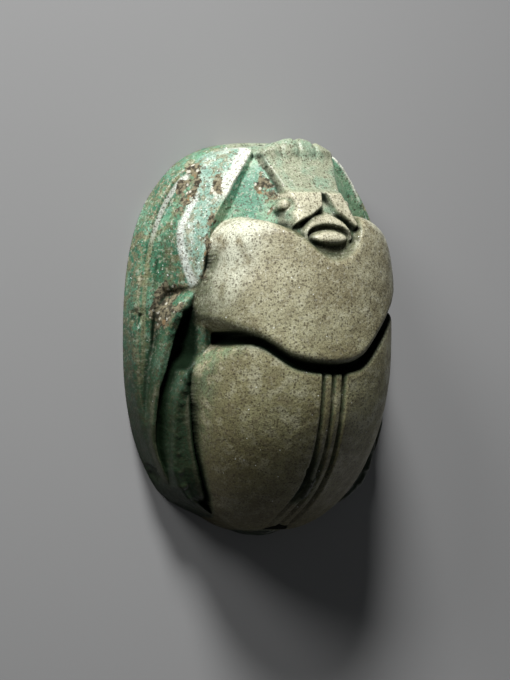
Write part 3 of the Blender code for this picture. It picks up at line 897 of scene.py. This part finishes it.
def stone_colour(g, y, patch):
    """Olive-buff, clouded stone, lighter where it is worn and under a painted highlight on the pronotum's
    near shoulder, more olive towards the rear and browner there with painted shade.
    """
    cloud = g.noise(330.0, 3.0, 0.55)
    stone = g.mix(g.ramp(cloud, 0.36, 0.64), STONE_DARK, STONE_LIGHT)
    olive = g.mix(g.ramp(cloud, 0.40, 0.62), OLIVE_DARK, OLIVE_LIGHT)
    stone = g.mix(g.scaled(g.ramp(y, -0.004, 0.006), 0.80), stone, olive)
    stone = g.mix(g.scaled(g.ramp(patch, 0.50, 0.66), 0.50), stone, STONE_BROWN)
    stone = g.mix(g.scaled(g.ramp(patch, 0.50, 0.34), 0.45), stone, STONE_PALE)
    brow = g.mix(0.55, stone, BROW_PALE)
    # Painted highlight on the pronotum's near shoulder
    lit_shoulder = g.math("MULTIPLY", g.attribute("shoulder"), g.ramp(patch, 0.75, 0.42))
    stone = g.mix(lit_shoulder, stone, SHOULDER_HIGHLIGHT)
    washed = g.math("MULTIPLY", g.attribute("green"), g.ramp(patch, 0.40, 0.56))
    stone = g.mix(g.scaled(washed, 0.75), stone, GREEN_WASH)
    stone = g.mix(g.attribute("brow"), stone, brow)
    # Painted shade: the stone turns dark brown towards the rear
    stone = g.mix(g.scaled(g.ramp(y, 0.0015, 0.0085), 0.70), stone, STONE_REAR_SHADE)
    return g.mix(g.scaled(g.ramp(g.attribute("hollow"), 0.08, 0.35), 0.80), stone, STAIN)


def glaze_colour(g, tail, pool, bloom, rub):
    """Green glaze, thin and brownish where it is rubbed, with painted shade that darkens it towards the
    tail and makes it near black in the hollows and cuts.
    """
    glaze = g.mix(g.ramp(pool, 0.38, 0.62), GLAZE_DEEP, GLAZE_LIGHT)
    glaze = g.mix(g.scaled(g.ramp(bloom, 0.56, 0.68), 0.40), glaze, GLAZE_BLOOM)
    glaze = g.mix(g.scaled(g.ramp(rub, 0.48, 0.62), 0.60), glaze, GLAZE_RUBBED)
    glaze = g.mix(g.scaled(g.attribute("trough"), 0.65), glaze, GLAZE_TROUGH)
    brown = g.mix(g.ramp(pool, 0.40, 0.60), FLANK_BROWN, FLANK_GREEN)
    brown = g.mix(g.ramp(rub, 0.54, 0.42), brown, glaze)
    glaze = g.mix(g.scaled(g.attribute("outer"), 0.50), glaze, brown)
    glaze = g.mix(g.scaled(g.attribute("rim"), 0.55), glaze, RIM_BUFF)
    # Painted shade: the glaze darkens towards the tail
    glaze = g.mix(g.scaled(tail, 0.85), glaze, GLAZE_REAR_SHADE)
    # Painted shade: the glaze turns near black in the hollows
    return g.mix(g.ramp(g.attribute("hollow"), 0.20, 0.45), glaze, GLAZE_HOLLOW_SHADE)


def carved_colour(g, y, tail, patch):
    """Stone on the back and brow, glaze elsewhere, pale where an edge is worn and where painted highlights
    run along edges and crests.
    """
    pool = g.noise(650.0, 3.0, 0.55)
    bloom = g.noise(1100.0, 2.0, 0.5)
    rub = g.noise(2900.0, 4.0, 0.65)
    bloomed = g.ramp(bloom, 0.42, 0.66)
    cheek = g.mix(g.ramp(pool, 0.38, 0.62), CHEEK_DEEP, CHEEK_LIGHT)
    plate = g.mix(g.scaled(bloomed, 0.6), PLATE_BUFF, PLATE_GREEN)
    crust = g.mix(bloomed, CRUST_GREEN, CRUST_PALE)
    crust = g.mix(g.scaled(g.ramp(rub, 0.50, 0.58), 0.75), crust, CRUST_BROWN)

    # Near edges the glaze is thinned by wear; the same value also sets the painted edge highlight
    wear_and_highlight = g.math("ADD", g.attribute("edge"), g.math("MULTIPLY", g.math("SUBTRACT", rub, 0.5), 0.9))
    base = glaze_colour(g, tail, pool, bloom, rub)
    thin = g.scaled(g.ramp(wear_and_highlight, 0.18, 0.55), 0.75)
    # Painted shade: the worn edges darken towards the tail
    base = g.mix(thin, base, g.mix(g.scaled(tail, 0.85), WORN, WORN_REAR_SHADE))
    base = g.mix(g.attribute("face"), base, crust)
    base = g.mix(g.attribute("cheek"), base, cheek)
    base = g.mix(g.attribute("plate"), base, plate)
    # Painted highlight, with some wear, along the ridge of the front leg's arm
    base = g.mix(g.scaled(g.attribute("arm"), 0.95), base, ARM_WEAR_HIGHLIGHT)
    # Painted highlight, with some wear, along the front leg's outer crest and the front of the plinth's
    # rim
    base = g.mix(g.scaled(g.attribute("crest"), 0.85), base, CREST_WEAR_HIGHLIGHT)
    stony = g.math("MAXIMUM", g.attribute("back"), g.attribute("brow"))
    base = g.mix(stony, base, stone_colour(g, y, patch))
    # Worn edges, lightened partly by wear and partly as a painted highlight; darker at the tail with
    # painted shade
    pale = g.scaled(g.ramp(wear_and_highlight, 0.30, 0.75), 0.50)
    pale = g.math("MULTIPLY", pale, g.math("SUBTRACT", 1.0, g.scaled(g.attribute("plate"), 0.8)))
    return g.mix(pale, base, g.mix(g.scaled(tail, 0.85), EDGE_WEAR_HIGHLIGHT, EDGE_REAR_SHADE))


def speckled(g, base, tail):
    """Dark grains in two sizes, pale ones, and a few bright sparks."""
    fine = g.ramp(g.noise(15000.0, 2.0, 0.6), 0.48, 0.62)
    base = g.mix(g.scaled(fine, 0.55), base, GRAIN_FINE)
    coarse = g.math("MAXIMUM", g.grain(8200.0, 0.70, 0.36), g.scaled(g.grain(5200.0, 0.86, 0.32), 0.8))
    base = g.mix(g.scaled(coarse, 0.75), base, GRAIN_COARSE)
    light = g.ramp(g.noise(6100.0, 2.0, 0.6), 0.44, 0.36)
    # The pale grains fade towards the tail with the painted shade there
    lit = g.scaled(g.math("SUBTRACT", 1.0, g.scaled(tail, 0.75)), 0.30)
    base = g.mix(g.math("MULTIPLY", light, lit), base, GRAIN_LIGHT)
    scaly = g.math("MAXIMUM", g.attribute("face"), g.scaled(g.attribute("trough"), 0.8))
    scales = g.math("MULTIPLY", g.grain(7600.0, 0.86, 0.22), scaly)
    spark = g.math("MAXIMUM", g.grain(6400.0, 0.965, 0.15), scales)
    return g.mix(g.scaled(spark, 0.85), base, SPARK)


def soil_colour(g):
    soil = g.mix(g.ramp(g.noise(5200.0, 2.0, 0.6), 0.40, 0.60), SOIL_DARK, SOIL_LIGHT)
    soil = g.mix(g.scaled(g.grain(3300.0, 0.90, 0.45), 0.7), soil, SOIL_RUST)
    return g.mix(g.scaled(g.grain(4700.0, 0.78, 0.35), 0.8), soil, SOIL_PALE)


def steatite():
    g = Graph("glazed_steatite")
    y = g.place()["Y"]
    # Ramp from head to tail, along which painted shade darkens the rear
    tail = g.ramp(y, -0.004, 0.005)
    patch = g.noise(1500.0, 3.0, 0.6)
    back = g.attribute("back")
    base = speckled(g, carved_colour(g, y, tail, patch), tail)

    uneven = g.math("SUBTRACT", g.noise(4200.0, 4.0, 0.75), 0.5)
    soiled = g.ramp(g.math("ADD", g.attribute("dirt"), g.math("MULTIPLY", uneven, 1.3)), 0.34, 0.52)
    base = g.mix(soiled, base, soil_colour(g))
    # Painted shade: near black in the hollows, grooves and cuts
    shade = g.scaled(g.ramp(g.attribute("hollow"), 0.26, 0.60), 0.97)
    base = g.mix(shade, base, SHADE)
    # Painted shade: everything but the back darkens towards the tail
    lower_rear_shaded = g.math("MULTIPLY", tail, g.math("SUBTRACT", 1.0, back))
    base = g.mix(g.scaled(lower_rear_shaded, 0.72), base, LOWER_REAR_SHADE)
    # Painted shade inside the threading hole
    base = g.mix(g.in_bore(), base, BORE_SHADE)
    g.link(base, g.shader.inputs["Base Color"])
    g.link(g.mix_value(shade, 0.30, 0.03), g.shader.inputs["Specular IOR Level"])

    gloss = g.mix_value(back, 0.38, 0.46)
    gloss = g.mix_value(soiled, gloss, 0.90)
    gloss = g.mix_value(shade, gloss, 0.85)
    gloss = g.math("ADD", gloss, g.math("MULTIPLY", g.math("SUBTRACT", patch, 0.5), 0.5), True)
    g.link(gloss, g.shader.inputs["Roughness"])
    bump = g.tree.nodes.new("ShaderNodeBump")
    bump.inputs["Strength"].default_value = 0.55
    bump.inputs["Distance"].default_value = 0.00004
    height = g.math("ADD", g.noise(7000.0, 3.0, 0.65), g.math("MULTIPLY", g.noise(2200.0, 3.0, 0.6), 1.6))
    g.link(height, bump.inputs["Height"])
    g.link(bump.outputs["Normal"], g.shader.inputs["Normal"])
    return g.material


def plain(name, colour, roughness):
    g = Graph(name)
    g.link(colour, g.shader.inputs["Base Color"])
    g.link(roughness, g.shader.inputs["Roughness"])
    return g.material


def area_light(name, place, size, power, spread):
    light = bpy.data.lights.new(name, "AREA")
    light.shape = "DISK"
    light.size = size
    light.energy = power
    light.spread = math.radians(spread)
    obj = bpy.data.objects.new(name, light)
    obj.location = place
    obj.rotation_euler = (Vector(place) - LIGHTS_AIM).to_track_quat("Z", "Y").to_euler()
    bpy.context.scene.collection.objects.link(obj)


# Camera: 58.5 degrees above the base plane on the beetle's left, head up in the picture.
# The layout's origin is at this pixel of the photo; the scale is in pixels a millimetre.
ELEVATION = math.radians(58.5)
SCALE = 21.8
DISTANCE = 0.24
IMAGE_WIDTH = 510
IMAGE_HEIGHT = 680
LAYOUT_PIXEL_X = 250.0
LAYOUT_PIXEL_Y = 341.0
AIM_Z = 3.5
SENSOR_WIDTH = 36.0


def photo_camera():
    right = Vector((-math.sin(ELEVATION), 0.0, math.cos(ELEVATION)))
    up = Vector((0.0, -1.0, 0.0))
    back = right.cross(up)
    across = (LAYOUT_PIXEL_X - IMAGE_WIDTH / 2) / SCALE
    x = (across + AIM_Z * math.cos(ELEVATION)) / math.sin(ELEVATION)
    y = (IMAGE_HEIGHT / 2 - LAYOUT_PIXEL_Y) / SCALE + SHIFT_Y
    camera = bpy.data.cameras.new("camera")
    camera.sensor_fit = "HORIZONTAL"
    camera.sensor_width = SENSOR_WIDTH
    camera.lens = SENSOR_WIDTH * DISTANCE / (IMAGE_WIDTH / SCALE * MM)
    camera.clip_start = 0.01
    camera.clip_end = 10.0
    obj = bpy.data.objects.new("camera", camera)
    turn = Matrix((right, up, back)).transposed().to_4x4()
    obj.matrix_world = Matrix.Translation(Vector((x, y, AIM_Z)) * MM + back * DISTANCE) @ turn
    bpy.context.scene.collection.objects.link(obj)
    bpy.context.scene.camera = obj


# Lights, all aimed at the beetle: name, place, size, power, spread in degrees
LIGHTS_AIM = Vector((0.0, 0.0, 0.003))
LIGHTS = [
    ("key", (0.036, -0.122, 0.060), 0.038, 0.059, 80),
    ("fill", (0.100, -0.090, 0.052), 0.05, 0.022, 80),
    ("rear", (-0.19, 0.16, 0.06), 0.18, 0.024, 120),
]
SKY_COLOUR = (0.9, 0.95, 1.0, 1.0)
SKY_STRENGTH = 0.04
FLOOR_HALF_SIDE = 0.6
FLOOR_DROP = 0.00001


def lay_floor():
    bm = bmesh.new()
    bmesh.ops.create_grid(bm, x_segments=1, y_segments=1, size=FLOOR_HALF_SIDE)
    floor = linked_object("floor", bm)
    floor.location = (0.0, 0.0, -FLOOR_DROP)
    floor.data.materials.append(plain("floor", FLOOR_GREY, 0.9))


def light_scene():
    world = bpy.data.worlds.new("studio")
    world.use_nodes = True
    sky = world.node_tree.nodes["Background"]
    sky.inputs["Color"].default_value = SKY_COLOUR
    sky.inputs["Strength"].default_value = SKY_STRENGTH
    bpy.context.scene.world = world
    for light in LIGHTS:
        area_light(*light)
    bpy.context.scene.view_settings.view_transform = "Standard"


amulet = carve("scarab")
drill(amulet)
amulet.data.materials.clear()
amulet.data.materials.append(steatite())
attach(amulet, "root")
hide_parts("scarab_amulet")

lay_floor()
light_scene()
photo_camera()
